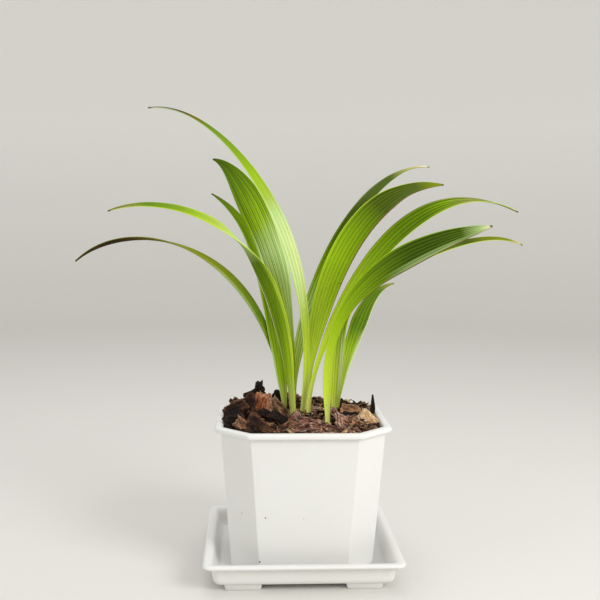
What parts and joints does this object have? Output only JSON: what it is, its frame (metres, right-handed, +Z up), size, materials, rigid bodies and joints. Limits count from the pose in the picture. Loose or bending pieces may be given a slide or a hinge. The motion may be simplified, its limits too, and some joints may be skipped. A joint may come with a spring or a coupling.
{
  "type": "potted areca palm",
  "caption": "Young areca palms with pleated strap leaves, growing in bark in a square cut-corner pot on a footed saucer.",
  "frame": {"origin": "on the floor, under the pot's axis", "axes": "+Z up, the pot's front face looks along -Y, +X to the viewer's right"},
  "size_m": [0.3872, 0.1733, 0.3723],
  "materials": {
    "saucer_plastic": "satin white, moulded",
    "pot_plastic": "satin white, moulded",
    "bark": "rough, dry bark chips",
    "leaf": "satin green, pleated"
  },
  "bodies": {
    "root": {"saucer": "saucer_plastic", "pot": "pot_plastic", "bark_fill": "bark", "leaf_left_tall": "leaf", "leaf_left_broad": "leaf", "leaf_left_back": "leaf", "leaf_left_arched": "leaf", "leaf_left_low": "leaf", "leaf_right_back": "leaf", "leaf_right_broad": "leaf", "leaf_right_long": "leaf", "leaf_right_front": "leaf", "leaf_right_narrow": "leaf", "leaf_right_short": "leaf"}
  },
  "joints": []
}
